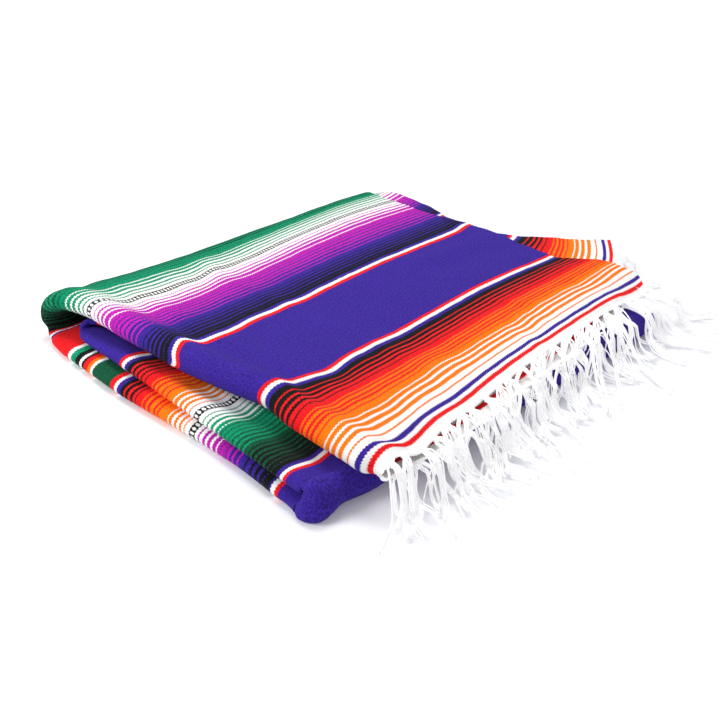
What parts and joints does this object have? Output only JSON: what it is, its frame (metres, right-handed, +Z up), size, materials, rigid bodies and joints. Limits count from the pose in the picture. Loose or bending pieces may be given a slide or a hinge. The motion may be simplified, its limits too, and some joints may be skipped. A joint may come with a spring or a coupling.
{
  "type": "folded serape blanket",
  "caption": "Striped serape blanket folded in half and then across into a flat stack, with rolled folded edges and knotted end fringe spread on the floor.",
  "frame": {"origin": "centre of the bounding box's base, on the surface that the folded cloth lies on", "axes": "+Z up; +X along the weft, from the rolled edge to the two selvedges; +Y along the warp, from the fringed end to the wrapped end"},
  "size_m": [0.9224, 0.8478, 0.0785],
  "materials": {
    "blue_wool": "matte",
    "red_wool": "matte",
    "white_wool": "matte"
  },
  "bodies": {
    "root": {"top_fold": "blue_wool", "bottom_fold": "blue_wool", "middle_fold": "red_wool", "hidden_layers": "red_wool", "fringe_upper": "white_wool", "fringe_lower": "white_wool"}
  },
  "joints": []
}
